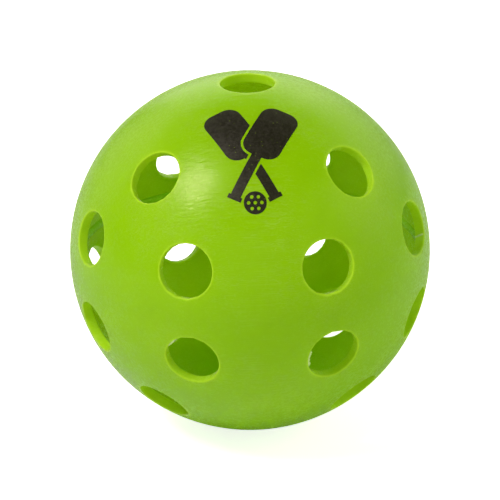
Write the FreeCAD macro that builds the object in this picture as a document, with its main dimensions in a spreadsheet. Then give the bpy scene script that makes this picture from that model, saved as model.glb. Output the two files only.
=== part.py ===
"""Indoor pickleball ball: a hollow, perforated ball in thin plastic.

It is two copies of one moulded half shell, turned edge to edge and welded at the
equator. The weld leaves a small bead inside. The mark on top is a film of ink.
Millimetres, +Z up through the two polar holes, origin at the ball's centre, and the
printed mark faces -Y.
"""
import FreeCAD, Part
import math
import os
import Sketcher
from FreeCAD import Vector

# Driving dimensions: alias, value, what it is. Lengths in mm, angles in degrees.
SIZES = [
    ("ball_diameter", 74.0, "outside of the ball; the game allows 73 to 75.5"),
    ("wall", 2.0, "wall thickness of both half shells"),
    ("hole_diameter", 11.0, "bore of every air hole"),
    ("rim_radius", 0.35, "rounding of each hole's outer and inner rim"),
    ("near_ring_angle", 48.4, "from the pole to the ring of four holes"),
    ("far_ring_angle", 75.0, "from the pole to the ring of eight holes"),
    ("pair_shift", 0.9, "how far each of the eight holes leans off an even spacing"),
    ("weld_twist", 1.6, "how far the lower half is turned against the upper one"),
    ("bead_width", 1.8, "inner weld bead, along the wall"),
    ("bead_height", 0.55, "inner weld bead, off the wall"),
    ("ink_thickness", 0.05, "film of printed ink"),
    ("mark_angle", 37.0, "from the pole to the centre of the printed mark"),
    ("paddle_crossing", -1.45, "where the printed paddles cross, above the mark's centre"),
    ("paddle_tilt", 28.0, "lean of each printed paddle"),
    ("face_width", 7.8, "printed paddle's face"),
    ("face_low", 1.5, "lower end of the face, along the paddle from the crossing"),
    ("face_high", 14.4, "upper end of the face"),
    ("face_corner", 2.6, "rounding of the face's corners"),
    ("grip_width", 2.1, "printed paddle's grip"),
    ("grip_low", -8.0, "lower end of the grip"),
    ("butt_width", 2.9, "cap at the end of the grip"),
    ("butt_length", 0.9, "the cap along the grip"),
    ("ink_gap", 0.5, "clear line round the front paddle, where it crosses the other"),
    ("dot_radius", 2.25, "small printed ball between the grips"),
    ("dot_height", -10.1, "its centre, above the mark's centre"),
    ("dot_hole_radius", 0.36, "clear spots in the small printed ball"),
    ("dot_ring_radius", 1.3, "ring that the outer clear spots stand on"),
]

NEAR_HOLES = 4
FAR_HOLES = 8
QUARTERS = 4
DOT_RING_HOLES = 6
CENTRE = Vector(0, 0, 0)
UP = Vector(0, 0, 1)

doc = FreeCAD.newDocument("pickleball_ball")


# ---------------------------------------------------------------- spreadsheet
sizes = doc.addObject("Spreadsheet::Sheet", "Sizes")
for row, (alias, value, meaning) in enumerate(SIZES, start=1):
    sizes.set(f"A{row}", alias)
    sizes.set(f"B{row}", str(value))
    sizes.set(f"C{row}", meaning)
    sizes.setAlias(f"B{row}", alias)
doc.recompute()


# -------------------------------------------------------------------- helpers
def new_body(label, compound=False):
    """A PartDesign body with its own label."""
    body = doc.addObject("PartDesign::Body", label)
    body.Label = label
    body.AllowCompound = compound
    return body


def origin_feature(body, role):
    """One of the body's own origin planes or axes."""
    return next(item for item in body.Origin.OriginFeatures if item.Role == role)


def new_sketch(body, name, plane="XY_Plane"):
    """A sketch on one of the body's own origin planes."""
    sketch = body.newObject("Sketcher::SketchObject", name)
    sketch.AttachmentSupport = [(origin_feature(body, plane), "")]
    sketch.MapMode = "FlatFace"
    return sketch


def dimension(sketch, name, expression, *constraint):
    """A named sketch dimension that follows the spreadsheet."""
    index = sketch.addConstraint(Sketcher.Constraint(*constraint))
    sketch.renameConstraint(index, name)
    sketch.setExpression(f"Constraints.{name}", expression)


def require_cut(feature, before, share):
    """Stops the build if a cut took away less than the share of a hole it should."""
    doc.recompute()
    bore = math.pi * (sizes.hole_diameter / 2) ** 2 * sizes.wall
    removed = before - feature.Shape.Volume
    if removed < share * bore:
        raise RuntimeError(f"{feature.Label} cut only {removed:.1f} mm3")


# ----------------------------------------------------------------- half shell
def shell_section(body):
    """Quarter ring in the XZ plane, from the weld face up to the pole."""
    sketch = new_sketch(body, body.Label + "_section", "XZ_Plane")
    outer_radius = sizes.ball_diameter / 2
    inner_radius = outer_radius - sizes.wall
    arcs = []
    for radius in (outer_radius, inner_radius):
        circle = Part.Circle(CENTRE, UP, radius)
        arcs.append(sketch.addGeometry(Part.ArcOfCircle(circle, 0, math.pi / 2)))
    outer, inner = arcs
    weld_face = sketch.addGeometry(
        Part.LineSegment(Vector(inner_radius, 0, 0), Vector(outer_radius, 0, 0)))
    pole_edge = sketch.addGeometry(
        Part.LineSegment(Vector(0, inner_radius, 0), Vector(0, outer_radius, 0)))
    for arc, end in ((inner, 1), (outer, 2)):
        sketch.addConstraint(Sketcher.Constraint("Coincident", arc, 3, -1, 1))
        sketch.addConstraint(Sketcher.Constraint("Coincident", weld_face, end, arc, 1))
        sketch.addConstraint(Sketcher.Constraint("Coincident", pole_edge, end, arc, 2))
        sketch.addConstraint(Sketcher.Constraint("PointOnObject", arc, 1, -1))
        sketch.addConstraint(Sketcher.Constraint("PointOnObject", arc, 2, -2))
    dimension(sketch, "outer_radius", "Sizes.ball_diameter / 2", "Radius", outer, outer_radius)
    dimension(sketch, "inner_radius", "Sizes.ball_diameter / 2 - Sizes.wall",
              "Radius", inner, inner_radius)
    return sketch


def radial_hole(body, name, pole_angle, azimuth):
    """An air hole drilled from the ball's centre outwards, in the given direction."""
    sketch = new_sketch(body, f"{body.Label}_{name}_circle")
    sketch.setExpression(
        "AttachmentOffset",
        "placement(vector(0; 0; 0); "
        f"rotation(vector(0; 0; 1); {azimuth}) * rotation(vector(0; 1; 0); {pole_angle}))")
    radius = sizes.hole_diameter / 2
    circle = sketch.addGeometry(Part.Circle(CENTRE, UP, radius))
    sketch.addConstraint(Sketcher.Constraint("Coincident", circle, 3, -1, 1))
    dimension(sketch, "bore", "Sizes.hole_diameter", "Diameter", circle, 2 * radius)
    before = body.Tip.Shape.Volume
    pocket = body.newObject("PartDesign::Pocket", f"{body.Label}_{name}")
    pocket.Profile = sketch
    pocket.Type = "ThroughAll"
    pocket.Reversed = True
    require_cut(pocket, before, 0.9)
    return pocket


def around_pole(body, hole, count):
    """The hole repeated evenly round the polar axis."""
    before = body.Tip.Shape.Volume
    pattern = body.newObject("PartDesign::PolarPattern", hole.Label + "_ring")
    pattern.Originals = [hole]
    pattern.Axis = (origin_feature(body, "Z_Axis"), [""])
    pattern.Angle = 360
    pattern.Occurrences = count
    body.Tip = pattern
    require_cut(pattern, before, 0.9 * (count - 1))


def hole_rims(shape, radius):
    """Names of the circular edges at both ends of the air holes."""
    names = []
    for index, edge in enumerate(shape.Edges, start=1):
        is_circle = isinstance(edge.Curve, Part.Circle)
        if is_circle and abs(edge.Curve.Radius - radius) < 1e-6:
            names.append(f"Edge{index}")
    return names


def half_shell(label):
    """One moulding: 1 polar hole, a ring of 4 and a ring of 8, with rounded rims."""
    body = new_body(label)
    shell = body.newObject("PartDesign::Revolution", label + "_dome")
    shell.Profile = shell_section(body)
    shell.ReferenceAxis = (shell.Profile[0], ["V_Axis"])
    shell.Angle = 360
    doc.recompute()

    radial_hole(body, "polar_hole", "0", "0")
    near = radial_hole(body, "near_hole", "Sizes.near_ring_angle", f"{180 / NEAR_HOLES}")
    around_pole(body, near, NEAR_HOLES)
    half_step = 180 / FAR_HOLES
    for side, sign in (("left", "-"), ("right", "+")):
        azimuth = f"{sign}({half_step} + Sizes.pair_shift)"
        far = radial_hole(body, f"far_{side}_hole", "Sizes.far_ring_angle", azimuth)
        around_pole(body, far, QUARTERS)

    rims = body.newObject("PartDesign::Fillet", label + "_rims")
    holed = rims.BaseFeature
    rims.Base = (holed, hole_rims(holed.Shape, sizes.hole_diameter / 2))
    rims.setExpression("Radius", "Sizes.rim_radius")
    body.Tip = rims
    return body


upper_shell = half_shell("upper_shell")
upper_shell.Placement = FreeCAD.Placement()

# The lower half is the same moulding turned over, a little out of register.
lower_shell = half_shell("lower_shell")
lower_shell.setExpression(
    "Placement",
    "placement(vector(0; 0; 0); "
    "rotation(vector(0; 0; 1); Sizes.weld_twist) * rotation(vector(1; 0; 0); 180))")


# ------------------------------------------------------------------ weld bead
def weld_ring(label):
    """Plastic squeezed inwards along the weld: a low, round-backed ring on the wall."""
    body = new_body(label)
    sketch = new_sketch(body, label + "_section", "XZ_Plane")
    wall_radius = sizes.ball_diameter / 2 - sizes.wall
    half_angle = math.asin(sizes.bead_width / 2 / wall_radius)
    circle = Part.Circle(CENTRE, UP, wall_radius)
    root = sketch.addGeometry(Part.ArcOfCircle(circle, -half_angle, half_angle))
    lower_end = circle.value(-half_angle)
    upper_end = circle.value(half_angle)
    crest_point = Vector(wall_radius - sizes.bead_height, 0, 0)
    crest = sketch.addGeometry(Part.Arc(upper_end, crest_point, lower_end))
    sketch.addConstraint(Sketcher.Constraint("Coincident", root, 3, -1, 1))
    sketch.addConstraint(Sketcher.Constraint("Coincident", root, 2, crest, 1))
    sketch.addConstraint(Sketcher.Constraint("Coincident", root, 1, crest, 2))
    sketch.addConstraint(Sketcher.Constraint("Symmetric", root, 1, root, 2, -1))
    dimension(sketch, "wall_radius", "Sizes.ball_diameter / 2 - Sizes.wall",
              "Radius", root, wall_radius)
    dimension(sketch, "width", "Sizes.bead_width", "DistanceY", root, 1, root, 2,
              sizes.bead_width)
    chord = wall_radius * (1 - math.cos(half_angle))
    rise = sizes.bead_height - chord
    crest_radius = ((sizes.bead_width / 2) ** 2 + rise ** 2) / (2 * rise)
    dimension(sketch, "crest_radius", f"{crest_radius} * Sizes.bead_width / {sizes.bead_width}",
              "Radius", crest, crest_radius)
    ring = body.newObject("PartDesign::Revolution", label + "_ring")
    ring.Profile = sketch
    ring.ReferenceAxis = (sketch, ["V_Axis"])
    ring.Angle = 360
    return body


weld_bead = weld_ring("weld_bead")
weld_bead.Placement = FreeCAD.Placement()


# --------------------------------------------------------------- printed mark
# Stencils stand as prisms on a plane through the ball's centre that faces the mark,
# and the ink is what they share with a thin skin over the ball.
MARK_PLANE = "placement(vector(0; 0; 0); rotation(vector(1; 0; 0); Sizes.mark_angle))"


def stencil_block(body, name, width, low, high):
    """An upright block of the stencil, centred on its Y axis."""
    block = body.newObject("PartDesign::AdditiveBox", f"{body.Label}_{name}")
    block.setExpression("Length", width)
    block.setExpression("Width", f"{high} - ({low})")
    block.setExpression("Height", "Sizes.ball_diameter / 2")
    block.AttachmentSupport = [(origin_feature(body, "XY_Plane"), "")]
    block.MapMode = "FlatFace"
    block.setExpression("AttachmentOffset.Base.x", f"-({width}) / 2")
    block.setExpression("AttachmentOffset.Base.y", low)
    block.setExpression("AttachmentOffset.Base.z", "Sizes.ball_diameter / 4")
    doc.recompute()
    return block


def paddle_stencil(label, tilt, margin):
    """A paddle: face with round corners, straight grip and a wider butt cap."""
    body = new_body(label)
    face = stencil_block(body, "face", f"Sizes.face_width + 2 * {margin}",
                         f"Sizes.face_low - {margin}", f"Sizes.face_high + {margin}")
    uprights = [f"Edge{index}" for index, edge in enumerate(face.Shape.Edges, start=1)
                if abs(edge.tangentAt(edge.FirstParameter).z) > 0.99]
    corners = body.newObject("PartDesign::Fillet", label + "_corners")
    corners.Base = (face, uprights)
    corners.setExpression("Radius", f"Sizes.face_corner + {margin}")
    doc.recompute()
    stencil_block(body, "grip", f"Sizes.grip_width + 2 * {margin}",
                  f"Sizes.grip_low - {margin}", "Sizes.face_low + Sizes.face_corner")
    stencil_block(body, "butt", f"Sizes.butt_width + 2 * {margin}",
                  f"Sizes.grip_low - Sizes.butt_length - {margin}", "Sizes.grip_low")
    body.setExpression(
        "Placement",
        f"{MARK_PLANE} * placement(vector(0; Sizes.paddle_crossing; 0); "
        f"rotation(vector(0; 0; 1); {tilt}))")
    return body


def dot_stencil(label):
    """A small round ball with one clear spot in its middle and a ring of them."""
    body = new_body(label)
    sketch = new_sketch(body, label + "_outline")
    spots = [("rim", "Sizes.dot_radius", CENTRE), ("middle", "Sizes.dot_hole_radius", CENTRE)]
    for index in range(DOT_RING_HOLES):
        angle = 2 * math.pi * index / DOT_RING_HOLES
        spot = sizes.dot_ring_radius * Vector(math.cos(angle), math.sin(angle), 0)
        spots.append((f"spot_{index}", "Sizes.dot_hole_radius", spot))
    for name, radius, place in spots:
        value = sizes.get(radius.split(".")[1])
        circle = sketch.addGeometry(Part.Circle(place, UP, value))
        dimension(sketch, name, radius, "Radius", circle, value)
    pad = body.newObject("PartDesign::Pad", label + "_pad")
    pad.Profile = sketch
    pad.setExpression("Length", "Sizes.ball_diameter")
    body.setExpression(
        "Placement",
        f"{MARK_PLANE} * placement(vector(0; Sizes.dot_height; 0); rotation(vector(0; 0; 1); 0))")
    return body


def ink_skin(label):
    """A skin of ink thickness over the whole ball."""
    outer = doc.addObject("Part::Sphere", label + "_outside")
    outer.setExpression("Radius", "Sizes.ball_diameter / 2 + Sizes.ink_thickness")
    inner = doc.addObject("Part::Sphere", label + "_inside")
    inner.setExpression("Radius", "Sizes.ball_diameter / 2")
    skin = doc.addObject("Part::Cut", label)
    skin.Base = outer
    skin.Tool = inner
    return skin


front_paddle = paddle_stencil("front_paddle", "-Sizes.paddle_tilt", "0")
front_clearance = paddle_stencil("front_clearance", "-Sizes.paddle_tilt", "Sizes.ink_gap")
whole_back_paddle = paddle_stencil("whole_back_paddle", "Sizes.paddle_tilt", "0")
back_paddle = doc.addObject("Part::Cut", "back_paddle")
back_paddle.Base = whole_back_paddle
back_paddle.Tool = front_clearance
stencils = doc.addObject("Part::Compound", "mark_stencils")
stencils.Links = [front_paddle, back_paddle, dot_stencil("small_ball")]

printed_mark = doc.addObject("Part::Common", "printed_mark")
printed_mark.Label = "printed_mark"
printed_mark.Base = ink_skin("ink_skin")
printed_mark.Tool = stencils


# ------------------------------------------------------------ check and write
doc.recompute()
for item in doc.Objects:
    if {"Invalid", "Error"} & set(item.State):
        raise RuntimeError(f"{item.Label} failed: {item.State}")

os.makedirs("parts", exist_ok=True)
for piece in (upper_shell, lower_shell, weld_bead, printed_mark):
    shape = piece.Shape
    if shape.isNull() or not shape.isValid():
        raise RuntimeError(f"{piece.Label} has no valid shape")
    print(f"{piece.Label}: {len(shape.Solids)} solids, {shape.Volume:.1f} mm3, box {shape.BoundBox}")
    shape.exportStep(f"parts/{piece.Label}.step")
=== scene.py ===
import math
import random

import bmesh
import bpy
from mathutils import Matrix, Vector


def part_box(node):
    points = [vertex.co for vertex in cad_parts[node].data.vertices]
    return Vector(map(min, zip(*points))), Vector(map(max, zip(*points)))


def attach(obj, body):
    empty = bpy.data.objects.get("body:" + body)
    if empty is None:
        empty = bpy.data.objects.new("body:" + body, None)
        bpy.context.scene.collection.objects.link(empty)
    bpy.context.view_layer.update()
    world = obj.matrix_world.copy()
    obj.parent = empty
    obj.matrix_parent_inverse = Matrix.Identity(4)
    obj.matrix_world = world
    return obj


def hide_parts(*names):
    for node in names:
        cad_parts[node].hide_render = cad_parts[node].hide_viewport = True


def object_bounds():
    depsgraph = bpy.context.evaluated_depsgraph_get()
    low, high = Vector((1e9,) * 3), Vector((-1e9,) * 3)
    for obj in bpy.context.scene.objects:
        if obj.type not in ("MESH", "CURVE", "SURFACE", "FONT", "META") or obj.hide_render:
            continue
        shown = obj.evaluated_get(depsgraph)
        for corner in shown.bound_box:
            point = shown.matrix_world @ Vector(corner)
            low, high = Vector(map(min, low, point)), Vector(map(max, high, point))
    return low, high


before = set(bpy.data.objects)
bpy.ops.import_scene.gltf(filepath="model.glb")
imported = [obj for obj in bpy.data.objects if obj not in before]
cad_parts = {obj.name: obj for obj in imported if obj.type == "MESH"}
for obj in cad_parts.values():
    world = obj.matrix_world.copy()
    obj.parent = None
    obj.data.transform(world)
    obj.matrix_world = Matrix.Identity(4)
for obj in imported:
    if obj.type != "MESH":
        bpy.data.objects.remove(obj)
cad_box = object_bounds()


# ---- Upper half shell ----
# The upper half of the ball: one thin injection moulding in lime green plastic, with an
# air hole at its pole, a ring of four and a ring of eight. The rims are a little rounded.
shell_low, shell_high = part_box("upper_shell")
ball_radius = (shell_high.x - shell_low.x) / 2
wall = 0.002
hole_radius = 0.0055
rim_rounding = 0.00035
near_ring_angle = math.radians(48.4)
far_ring_angle = math.radians(75.0)
pair_shift = math.radians(0.9)
hair = 1e-5
smooth_below = math.radians(40)
columns_per_side = 16
rows_per_hole = 14
rim_segments = 4


def direction(pole_angle, azimuth):
    """The unit vector at an angle from the pole, on a meridian."""
    across = math.sin(pole_angle)
    return Vector((across * math.cos(azimuth), across * math.sin(azimuth), math.cos(pole_angle)))


def hole_axes():
    """Where the 13 air holes of one half point."""
    quarter = math.pi / 2
    far_step = math.pi / 8 + pair_shift
    axes = [direction(0, 0)]
    for turn in range(4):
        axes.append(direction(near_ring_angle, quarter * turn + quarter / 2))
        axes.append(direction(far_ring_angle, quarter * turn + far_step))
        axes.append(direction(far_ring_angle, quarter * turn - far_step))
    return axes


def corner_angle(azimuth, one, other):
    """How far from the pole a meridian is equally near to two holes."""
    along = direction(math.pi / 2, azimuth)
    return math.atan((other.z - one.z) / (one - other).dot(along))


def pick(kind, test):
    """In edit mode, selects the vertices, edges or faces that pass a test, and no others."""
    bpy.ops.mesh.select_mode(type=kind)
    bpy.ops.mesh.select_all(action="DESELECT")
    shape = bmesh.from_edit_mesh(bpy.context.object.data)
    items = {"VERT": shape.verts, "EDGE": shape.edges, "FACE": shape.faces}[kind]
    for item in items:
        if test(item):
            item.select_set(True)
    bmesh.update_edit_mesh(bpy.context.object.data)


def nearest(axes, point):
    """The hole axis that a point lies nearest to."""
    return max(axes, key=lambda axis: axis.dot(point))


def pierced_dome(radius, axes):
    """Half a sphere of quads that ring its holes, open at the holes and the equator.

    A coarse dome gets one face for each hole. Each face is inset and opened, its
    edges are divided, the opening is made round, and the rows are cut last.
    """
    bpy.ops.object.select_all(action="DESELECT")
    bpy.ops.mesh.primitive_uv_sphere_add(segments=8, ring_count=6, radius=radius)
    dome = bpy.context.object
    bpy.ops.object.mode_set(mode="EDIT")
    pick("VERT", lambda vert: vert.co.z < -hair)
    bpy.ops.mesh.delete(type="VERT")

    def is_surplus(edge):
        """An edge that would split the polar face or one of the four near it."""
        low, high = sorted(vert.co.z for vert in edge.verts)
        middle = (edge.verts[0].co + edge.verts[1].co) / 2
        on_diagonal = abs(abs(middle.x) - abs(middle.y)) < hair
        meets_pole = high > 0.99 * radius
        return meets_pole or (on_diagonal and 0.4 * radius < low < high - hair)

    pick("EDGE", is_surplus)
    bpy.ops.mesh.dissolve_edges(use_verts=True)

    pole, near, far = axes[0], axes[1], axes[2]
    diagonal = math.pi / 4
    shape = bmesh.from_edit_mesh(dome.data)
    for vert in shape.verts:
        azimuth = math.atan2(vert.co.y, vert.co.x)
        is_diagonal = abs(abs(vert.co.x) - abs(vert.co.y)) < hair
        if vert.co.z > 0.8 * radius:
            vert.co = radius * direction(corner_angle(0, pole, near), azimuth)
        elif vert.co.z > 0.4 * radius and is_diagonal:
            vert.co = radius * direction(corner_angle(diagonal, near, far), azimuth)
        elif vert.co.z > 0.4 * radius:
            vert.co = radius * direction(corner_angle(0, near, far), azimuth)
    bmesh.update_edit_mesh(dome.data)

    bpy.ops.mesh.select_all(action="SELECT")
    bpy.ops.mesh.inset(thickness=0.2 * radius, use_individual=True)
    bpy.ops.mesh.delete(type="FACE")

    def is_corner(vert):
        return vert.co.length > 0.999 * radius

    pick("EDGE", lambda edge: is_corner(edge.verts[0]) == is_corner(edge.verts[1]))
    bpy.ops.mesh.subdivide(number_cuts=columns_per_side - 1)

    shape = bmesh.from_edit_mesh(dome.data)
    rim_height = math.sqrt(radius ** 2 - hole_radius ** 2)
    for vert in shape.verts:
        if vert.is_boundary and vert.co.z > hair:
            axis = nearest(axes, vert.co)
            outward = (vert.co - vert.co.dot(axis) * axis).normalized()
            vert.co = rim_height * axis + hole_radius * outward
        else:
            vert.co = radius * vert.co.normalized()
    bmesh.update_edit_mesh(dome.data)

    pick("EDGE", lambda edge: not edge.is_boundary
         and (edge.verts[0].is_boundary and edge.verts[0].co.z > hair)
         != (edge.verts[1].is_boundary and edge.verts[1].co.z > hair))
    bpy.ops.mesh.subdivide(number_cuts=rows_per_hole - 1)
    bpy.ops.object.mode_set(mode="OBJECT")
    round_off = dome.modifiers.new("round_off", "CAST")
    round_off.factor = 1.0
    round_off.radius = radius
    round_off.use_radius_as_size = True
    bpy.ops.object.modifier_apply(modifier=round_off.name)
    return dome


def half_shell(name):
    """Outer and inner domes joined into one closed wall, with its hole rims rounded."""
    axes = hole_axes()
    outer = pierced_dome(ball_radius, axes)
    inner = pierced_dome(ball_radius - wall, axes)
    bpy.ops.object.mode_set(mode="EDIT")
    bpy.ops.mesh.select_all(action="SELECT")
    bpy.ops.mesh.flip_normals()
    bpy.ops.object.mode_set(mode="OBJECT")
    outer.select_set(True)
    bpy.context.view_layer.objects.active = outer
    bpy.ops.object.join()
    shell = bpy.context.object
    shell.name = name
    shell.data.name = name

    bpy.ops.object.mode_set(mode="EDIT")

    def on_equator(edge):
        return max(vert.co.z for vert in edge.verts) < hair

    pick("EDGE", lambda edge: edge.is_boundary and on_equator(edge))
    bpy.ops.mesh.bridge_edge_loops()
    for hole in axes:
        pick("EDGE", lambda edge: edge.is_boundary and not on_equator(edge)
             and nearest(axes, edge.verts[0].co) is hole)
        bpy.ops.mesh.bridge_edge_loops()
    pick("EDGE", lambda edge: not on_equator(edge)
         and edge.calc_face_angle(0) > math.radians(60))
    bpy.ops.mesh.bevel(offset=rim_rounding, segments=rim_segments, profile=0.5)
    bpy.ops.object.mode_set(mode="OBJECT")
    bpy.ops.object.shade_smooth_by_angle(angle=smooth_below)

    # Painted glow: the rounded rims and the bore walls are marked to be painted paler, a painted
    # highlight for the light that catches the rounded rims and soaks through the thin wall
    # there.
    rim = shell.data.attributes.new("rim", "FLOAT", "POINT")
    for vert, mark in zip(shell.data.vertices, rim.data):
        axis = nearest(axes, vert.co)
        beyond = (vert.co - vert.co.dot(axis) * axis).length - hole_radius
        if beyond < 0.1 * rim_rounding:
            mark.value = 0.5
        elif beyond < 0.9 * rim_rounding:
            mark.value = 1.0
        elif beyond < 1.1 * rim_rounding:
            mark.value = 0.4
    return shell


upper_shell = half_shell("upper_half")
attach(upper_shell, "root")
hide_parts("upper_shell")


def node(tree, kind, settings=None, **sockets):
    """A new node with some of its settings and of its sockets' plain values filled in."""
    made = tree.nodes.new("ShaderNode" + kind)
    for setting, value in (settings or {}).items():
        setattr(made, setting, value)
    for socket, value in sockets.items():
        made.inputs[socket.replace("_", " ")].default_value = value
    return made


def calculate(tree, operation, first, second):
    """A Math node on two numbers or sockets; gives the socket with the result."""
    made = node(tree, "Math", {"operation": operation})
    for place, term in enumerate((first, second)):
        if isinstance(term, bpy.types.NodeSocket):
            tree.links.new(term, made.inputs[place])
        else:
            made.inputs[place].default_value = term
    return made.outputs[0]


def remap(tree, value, low, high, new_low, new_high):
    """A socket's value carried smoothly from one range to another."""
    made = node(tree, "MapRange", {"interpolation_type": "SMOOTHSTEP"}, From_Min=low,
                From_Max=high, To_Min=new_low, To_Max=new_high)
    tree.links.new(value, made.inputs["Value"])
    return made.outputs["Result"]


def blend_colours(tree, share, first, second):
    """Two colours or sockets mixed by a share; gives the socket with the result."""
    made = node(tree, "Mix", {"data_type": "RGBA"})
    tree.links.new(share, made.inputs[0])
    for place, colour in ((6, first), (7, second)):
        if isinstance(colour, bpy.types.NodeSocket):
            tree.links.new(colour, made.inputs[place])
        else:
            made.inputs[place].default_value = (*colour, 1)
    return made.outputs[2]


# Marks of handling, on the plastic and on the ink alike: hairline scratches that run three
# ways, a pebbled satin skin, and broad patches that are a little more worn than the rest.
handling = bpy.data.node_groups.new("handling", "ShaderNodeTree")
handling.interface.new_socket("Position", in_out="INPUT", socket_type="NodeSocketVector")
handling.interface.new_socket("Scratch Width", in_out="INPUT", socket_type="NodeSocketFloat")
for output in ("Scratches", "Pebbles", "Streaks", "Patches"):
    handling.interface.new_socket(output, in_out="OUTPUT", socket_type="NodeSocketFloat")
group_in = handling.nodes.new("NodeGroupInput")
group_out = handling.nodes.new("NodeGroupOutput")

patches = node(handling, "TexNoise", Scale=75.0, Detail=3.0, Roughness=0.6)
handling.links.new(group_in.outputs["Position"], patches.inputs["Vector"])
patch_share = remap(handling, patches.outputs["Fac"], 0.38, 0.66, 0.0, 1.0)
handling.links.new(patch_share, group_out.inputs["Patches"])

pebbles = node(handling, "TexNoise", Scale=1500.0, Detail=2.5, Roughness=0.62)
handling.links.new(group_in.outputs["Position"], pebbles.inputs["Vector"])
handling.links.new(pebbles.outputs["Fac"], group_out.inputs["Pebbles"])

scratch_runs = (((0.05, -0.08, 0.12), (70, 1900, 1900)),
                ((0.5, 0.35, 0.9), (60, 1700, 1700)),
                ((-0.6, 1.1, 0.4), (50, 1500, 1500)))
scratches = 0.0
streaks = 0.0
for turn, stretch in scratch_runs:
    mapping = node(handling, "Mapping", Rotation=turn, Scale=stretch)
    handling.links.new(group_in.outputs["Position"], mapping.inputs["Vector"])
    fibres = node(handling, "TexNoise", Scale=1.0, Detail=1.0, Roughness=0.4, Distortion=0.2)
    handling.links.new(mapping.outputs["Vector"], fibres.inputs["Vector"])
    offset = calculate(handling, "SUBTRACT", fibres.outputs["Fac"], 0.5)
    gap = calculate(handling, "ABSOLUTE", offset, 0.0)
    near = calculate(handling, "DIVIDE", gap, group_in.outputs["Scratch Width"])
    line = remap(handling, near, 0.0, 1.0, 1.0, 0.0)
    scratches = calculate(handling, "MAXIMUM", line, scratches)
    streaks = calculate(handling, "ADD", streaks, calculate(
        handling, "MULTIPLY", fibres.outputs["Fac"], 1 / len(scratch_runs)))
handling.links.new(streaks, group_out.inputs["Streaks"])
worn = calculate(handling, "MULTIPLY", scratches, calculate(handling, "ADD", calculate(
    handling, "MULTIPLY", patch_share, 0.75), 0.25))
handling.links.new(worn, group_out.inputs["Scratches"])

# Lime green polyethylene with a satin skin. Thin enough for light to soak through, which is what
# brightens the inside;
# scratches and worn patches are a little paler and rougher. The hole rims and bore walls are
# painted paler still, a painted glow for the light that catches the rounded rims and comes
# through the thin plastic there. The reflection's yellow tint is for looks, and real plastic has
# none.
lime_plastic = bpy.data.materials.new("lime_plastic")
lime_plastic.use_nodes = True
tree = lime_plastic.node_tree
plastic = tree.nodes["Principled BSDF"]
plastic.inputs["Specular IOR Level"].default_value = 0.38
plastic.inputs["Specular Tint"].default_value = (1.0, 1.0, 0.4, 1)
place = node(tree, "TexCoord")
marks = node(tree, "Group", {"node_tree": handling}, Scratch_Width=0.02)
tree.links.new(place.outputs["Object"], marks.inputs["Position"])
clouds = node(tree, "TexNoise", Scale=38.0, Detail=4.0, Roughness=0.55)
tree.links.new(place.outputs["Object"], clouds.inputs["Vector"])
cloud_share = remap(tree, clouds.outputs["Fac"], 0.3, 0.7, 0.0, 1.0)
body_colour = blend_colours(tree, cloud_share, (0.310, 0.665, 0.0), (0.342, 0.705, 0.0))
scratch_share = calculate(tree, "MULTIPLY", marks.outputs["Scratches"], 0.45)
body_colour = blend_colours(tree, scratch_share, body_colour, (0.50, 0.80, 0.10))
# Painted glow: where the rims are marked, the colour is lifted to a pale lime, a painted
# highlight on the rounded rims and bore walls.
edge = node(tree, "Attribute", {"attribute_name": "rim"})
glow_share = calculate(tree, "MULTIPLY", edge.outputs["Fac"], 0.8)
painted_glow_tint = blend_colours(tree, glow_share, body_colour, (0.58, 0.95, 0.03))
tree.links.new(painted_glow_tint, plastic.inputs["Base Color"])
pebble_roughness = remap(tree, marks.outputs["Pebbles"], 0.3, 0.7, 0.19, 0.28)
scratch_roughness = calculate(tree, "MULTIPLY", marks.outputs["Scratches"], 0.12)
patch_roughness = calculate(tree, "MULTIPLY", marks.outputs["Patches"], 0.03)
tree.links.new(calculate(tree, "ADD", pebble_roughness, calculate(
    tree, "ADD", scratch_roughness, patch_roughness)), plastic.inputs["Roughness"])
skin_height = calculate(tree, "SUBTRACT", calculate(
    tree, "ADD", marks.outputs["Pebbles"], calculate(
        tree, "MULTIPLY", marks.outputs["Streaks"], 8.0)), calculate(
    tree, "MULTIPLY", marks.outputs["Scratches"], 1.0))
skin = node(tree, "Bump", Strength=1.0, Distance=1.2e-5)
tree.links.new(skin_height, skin.inputs["Height"])
tree.links.new(skin.outputs["Normal"], plastic.inputs["Normal"])
glow = node(tree, "BsdfTranslucent", Color=(0.84, 1.0, 0.0, 1))
blend = node(tree, "MixShader", Fac=0.34)
tree.links.new(plastic.outputs["BSDF"], blend.inputs[1])
tree.links.new(glow.outputs["BSDF"], blend.inputs[2])
tree.links.new(blend.outputs["Shader"], tree.nodes["Material Output"].inputs["Surface"])
upper_shell.data.materials.clear()
upper_shell.data.materials.append(lime_plastic)


# ---- Lower half shell ----
# The same moulding turned over, welded to the first edge to edge and a little out of
# register with it.
weld_twist = math.radians(1.6)
lower_shell = half_shell("lower_half")
lower_shell.rotation_euler = (math.pi, 0, weld_twist)
bpy.ops.object.transform_apply(rotation=True)
lower_shell.data.materials.clear()
lower_shell.data.materials.append(lime_plastic)
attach(lower_shell, "root")
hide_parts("lower_shell")


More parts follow.
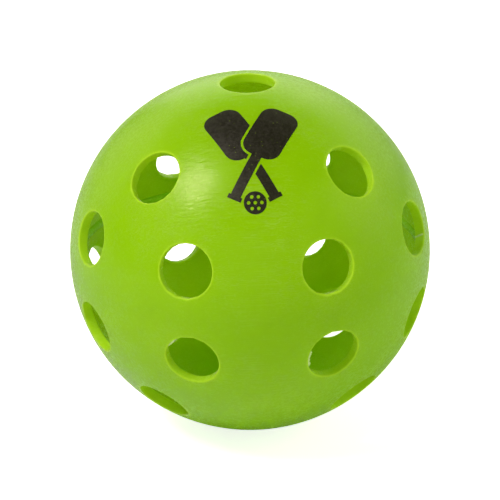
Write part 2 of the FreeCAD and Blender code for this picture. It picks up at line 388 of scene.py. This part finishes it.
# ---- Weld bead ----
# The melt that the weld squeezes inwards: a low ring along the joint, on the inside
# only, a little uneven all the way round.
bead_half_width = 0.0009
bead_height = 0.00055
bead_waver = 0.00016
inner_radius = ball_radius - wall
bpy.ops.object.select_all(action="DESELECT")
bpy.ops.mesh.primitive_circle_add(vertices=28, radius=bead_half_width,
                                  location=(inner_radius, 0, 0), rotation=(math.pi / 2, 0, 0))
weld_bead = bpy.context.object
weld_bead.name = "weld_bead_ring"
bpy.ops.object.transform_apply(location=True, rotation=True)
bpy.ops.object.mode_set(mode="EDIT")
bpy.ops.mesh.select_all(action="SELECT")
bpy.ops.transform.resize(value=(bead_height / bead_half_width, 1, 1),
                         center_override=(inner_radius, 0, 0))
bpy.ops.mesh.bisect(plane_co=(inner_radius, 0, 0), plane_no=(1, 0, 0), clear_outer=True)
pick("VERT", lambda vert: vert.co.x > inner_radius - hair)
bpy.ops.mesh.edge_face_add()
bpy.ops.mesh.select_all(action="SELECT")
bpy.ops.mesh.spin(steps=360, angle=2 * math.pi, center=(0, 0, 0), axis=(0, 0, 1))
bpy.ops.mesh.select_all(action="SELECT")
bpy.ops.mesh.remove_doubles(threshold=hair / 10)
bpy.ops.mesh.normals_make_consistent(inside=False)
bpy.ops.object.mode_set(mode="OBJECT")
crown = weld_bead.vertex_groups.new(name="crown")
crown.add([vert.index for vert in weld_bead.data.vertices
           if vert.co.xy.length < inner_radius - 0.1 * bead_height], 1.0, "REPLACE")
ripple = bpy.data.textures.new("weld_ripple", "CLOUDS")
ripple.noise_scale = 0.0035
unevenness = weld_bead.modifiers.new("unevenness", "DISPLACE")
unevenness.texture = ripple
unevenness.texture_coords = "LOCAL"
unevenness.strength = bead_waver
unevenness.mid_level = 0.5
unevenness.vertex_group = crown.name
bpy.ops.object.modifier_apply(modifier=unevenness.name)
bpy.ops.object.shade_smooth_by_angle(angle=smooth_below)

# The same plastic, but backed by the wall all over, so no light comes through it.
weld_plastic = lime_plastic.copy()
weld_plastic.name = "lime_weld"
weld_plastic.node_tree.nodes[blend.name].inputs["Fac"].default_value = 0.0
# Painted glow over the whole bead: it is painted a little paler, standing in for the light that
# the plastic around it lets through.
rim = weld_bead.data.attributes.new("rim", "FLOAT", "POINT")
rim.data.foreach_set("value", [0.6] * len(rim.data))
weld_bead.data.materials.clear()
weld_bead.data.materials.append(weld_plastic)
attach(weld_bead, "root")
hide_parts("weld_bead")


# ---- Flash at the holes ----
# Thin ragged slivers of plastic left where the core pins met the mould: one runs through a
# bore, the others stand on rims. They are part of the mouldings and were never trimmed off.
slivers = random.Random(5)
# The slivers get a paler painted glow than the rims: a painted glint for the light that catches
# the thin slivers and shines through them.
flash_painted_glow = lime_plastic.copy()
flash_painted_glow.name = "lime_flash_painted_glow"
flash_glow_mix = flash_painted_glow.node_tree.nodes[painted_glow_tint.node.name]
flash_glow_mix.inputs[7].default_value = (0.8, 1.0, 0.45, 1)


def flash_sliver(name, hole, start, end, height, thickness, steps):
    """A ragged sliver on a bore's wall.

    Start and end are each a turn from the eastern side of the hole and a share of the way
    from the outside of the wall to the inside.
    """
    east = Vector((0, 0, 1)).cross(hole).normalized()
    north = hole.cross(east)
    bpy.ops.object.select_all(action="DESELECT")
    bpy.ops.mesh.primitive_grid_add(x_subdivisions=steps, y_subdivisions=3, size=1.0)
    sliver = bpy.context.object
    sliver.name = name
    bpy.ops.object.mode_set(mode="EDIT")
    shape = bmesh.from_edit_mesh(sliver.data)
    outside = math.sqrt(ball_radius ** 2 - hole_radius ** 2) - 0.3 * rim_rounding
    reaches = [height * slivers.uniform(0.35, 1.0) for _ in range(steps + 1)]
    reaches[0] = reaches[-1] = 0.1 * height
    for vert in shape.verts:
        share = vert.co.x + 0.5
        turn = math.radians(start[0] + share * (end[0] - start[0]))
        depth = wall * (start[1] + share * (end[1] - start[1]))
        reach = reaches[round(share * steps)] * (vert.co.y + 0.5) - hair
        away = math.cos(turn) * east + math.sin(turn) * north
        vert.co = (outside - depth) * hole + (hole_radius - reach) * away
    bmesh.update_edit_mesh(sliver.data)
    bpy.ops.object.mode_set(mode="OBJECT")
    body = sliver.modifiers.new("body", "SOLIDIFY")
    body.thickness = thickness
    body.offset = 0.0
    bpy.ops.object.modifier_apply(modifier=body.name)
    # Painted glow over the whole sliver, at more than full strength.
    rim = sliver.data.attributes.new("rim", "FLOAT", "POINT")
    rim.data.foreach_set("value", [1.2] * len(rim.data))
    bpy.ops.object.shade_smooth_by_angle(angle=smooth_below)
    sliver.data.materials.append(flash_painted_glow)
    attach(sliver, "root")


def far_hole(azimuth, side):
    """The axis of a hole in the ring of eight, side 1 in the upper half and -1 in the lower."""
    twist = weld_twist if side < 0 else 0
    across = direction(far_ring_angle, math.radians(azimuth) + twist)
    return Vector((across.x, across.y, side * across.z))


pair_turn = math.degrees(math.pi / 8 + pair_shift)
flash_sliver("bore_flash", far_hole(-pair_turn, 1), (-33, 0.05), (-39, 0.98), 0.0004, 0.0003, 9)
flash_sliver("rim_flash_left", far_hole(-90 - pair_turn, -1),
             (128, 0.04), (150, 0.06), 0.0005, 0.0002, 8)
flash_sliver("rim_flash_right", far_hole(-90 + pair_turn, -1),
             (160, 0.02), (202, 0.10), 0.0005, 0.0002, 14)


# ---- Printed mark ----
# A made-up sign for the game, two crossed paddles over a small ball, pad printed in black
# ink. The ink is thin, a little speckled, and lets the plastic show at pinholes.
black_ink = bpy.data.materials.new("black_ink")
black_ink.use_nodes = True
tree = black_ink.node_tree
ink = tree.nodes["Principled BSDF"]
ink.inputs["Specular IOR Level"].default_value = 0.45
ink.inputs["Specular Tint"].default_value = (0.95, 1.0, 0.55, 1)
place = node(tree, "TexCoord")
marks = node(tree, "Group", {"node_tree": handling}, Scratch_Width=0.008)
tree.links.new(place.outputs["Object"], marks.inputs["Position"])
speckles = node(tree, "TexNoise", Scale=2600.0, Detail=2.0, Roughness=0.7)
tree.links.new(place.outputs["Object"], speckles.inputs["Vector"])
speckle_share = remap(tree, speckles.outputs["Fac"], 0.35, 0.75, 0.0, 1.0)
ink_colour = blend_colours(tree, speckle_share, (0.010, 0.010, 0.003), (0.026, 0.025, 0.014))
pinholes = node(tree, "TexVoronoi", Scale=900.0)
tree.links.new(place.outputs["Object"], pinholes.inputs["Vector"])
pinhole_share = remap(tree, pinholes.outputs["Distance"], 0.05, 0.14, 0.5, 0.0)
rub_share = calculate(tree, "MULTIPLY", marks.outputs["Scratches"], 0.10)
wear_share = calculate(tree, "MAXIMUM", pinhole_share, rub_share)
ink_colour = blend_colours(tree, wear_share, ink_colour, (0.16, 0.26, 0.01))
tree.links.new(ink_colour, ink.inputs["Base Color"])
ink_roughness = remap(tree, marks.outputs["Pebbles"], 0.3, 0.7, 0.30, 0.48)
tree.links.new(ink_roughness, ink.inputs["Roughness"])
skin = node(tree, "Bump", Strength=1.0, Distance=1.5e-5)
tree.links.new(marks.outputs["Pebbles"], skin.inputs["Height"])
tree.links.new(skin.outputs["Normal"], ink.inputs["Normal"])
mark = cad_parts["printed_mark"]
mark.data.materials.clear()
mark.data.materials.append(black_ink)


# ---- Floor ----
# A pale table top, a little warm, which tints what the ball reflects. It glows for the camera
# alone, so that it looks white and only a faint shadow is left under the ball.
floor_level = cad_box[0].z
bpy.ops.object.select_all(action="DESELECT")
bpy.ops.mesh.primitive_plane_add(size=6.0, location=(0, 0, floor_level))
floor = bpy.context.object
floor.name = "floor"
pale_floor = bpy.data.materials.new("pale_floor")
pale_floor.use_nodes = True
surface = pale_floor.node_tree.nodes["Principled BSDF"]
surface.inputs["Base Color"].default_value = (0.9, 0.9, 0.8, 1)
surface.inputs["Roughness"].default_value = 0.8
surface.inputs["Emission Color"].default_value = (1, 1, 1, 1)
tree = pale_floor.node_tree
place = node(tree, "TexCoord")
from_ball = node(tree, "VectorMath", {"operation": "LENGTH"})
tree.links.new(place.outputs["Object"], from_ball.inputs[0])
lift = remap(tree, from_ball.outputs["Value"], 0.3, 1.0, 0.76, 1.0)
ray = node(tree, "LightPath")
tree.links.new(calculate(tree, "MULTIPLY", ray.outputs["Is Camera Ray"], lift),
               surface.inputs["Emission Strength"])
floor.data.materials.append(pale_floor)


# ---- Surroundings ----
# White walls that only the camera sees. All of the light comes from the soft boxes.
scene = bpy.context.scene
scene.view_settings.view_transform = "Standard"
world = bpy.data.worlds.new("studio")
world.use_nodes = True
backdrop = world.node_tree.nodes["Background"]
backdrop.inputs["Color"].default_value = (1, 1, 1, 1)
ray = world.node_tree.nodes.new("ShaderNodeLightPath")
world.node_tree.links.new(ray.outputs["Is Camera Ray"], backdrop.inputs["Strength"])
scene.world = world


# ---- Camera ----
# A long lens a little above the ball, square to the printed mark.
view_azimuth = math.radians(-2.28)
view_elevation = math.radians(22.7)
view_roll = math.radians(-0.9)
view_distance = 20 * ball_radius
ball_share = 0.72

back = Vector((math.sin(view_azimuth) * math.cos(view_elevation),
               -math.cos(view_azimuth) * math.cos(view_elevation),
               math.sin(view_elevation)))
level_right = Vector((math.cos(view_azimuth), math.sin(view_azimuth), 0))
level_up = back.cross(level_right)
right = math.cos(view_roll) * level_right + math.sin(view_roll) * level_up
up = back.cross(right)


def soft_box(name, toward, distance, size, brightness, tint):
    """A square soft box of an even brightness and a tint, facing the middle of the ball."""
    data = bpy.data.lights.new(name, "AREA")
    data.color = tint
    data.shape = "SQUARE"
    data.size = size
    data.energy = math.pi * size ** 2 * brightness
    lamp = bpy.data.objects.new(name, data)
    lamp.location = distance * toward
    lamp.rotation_mode = "QUATERNION"
    lamp.rotation_quaternion = toward.to_track_quat("Z", "Y")
    scene.collection.objects.link(lamp)


key_tint = (1.0, 0.86, 1.3)
soft_box("key", -0.525 * right + 0.622 * up + 0.581 * back, 0.6, 0.22, 20.0, key_tint)
# Each panel's name, turn from the camera, height in degrees and brightness.
panel_distance = 1.0
panel_size = 0.7
panel_tint = (1.0, 1.0, 0.8)
panels = (("front", 0, 12, 1.08), ("front_right", 50, 25, 0.72), ("right", 95, 22, 2.2),
          ("back_right", 140, 22, 1.43), ("back", 180, 22, 2.0), ("back_left", 225, 22, 1.05),
          ("front_left", 310, 25, 0.40))
for name, turned, height, brightness in panels:
    azimuth = view_azimuth - math.pi / 2 + math.radians(turned)
    toward = direction(math.pi / 2 - math.radians(height), azimuth)
    soft_box(name, toward, panel_distance, panel_size, brightness, panel_tint)

lens = bpy.data.cameras.new("camera")
lens.sensor_width = 36.0
disc_slope = ball_radius / math.sqrt(view_distance ** 2 - ball_radius ** 2)
lens.lens = lens.sensor_width * ball_share / (2 * disc_slope)
camera = bpy.data.objects.new("camera", lens)
turn = Matrix((right, up, back)).transposed()
camera.matrix_world = Matrix.Translation(view_distance * back) @ turn.to_4x4()
scene.collection.objects.link(camera)
scene.camera = camera
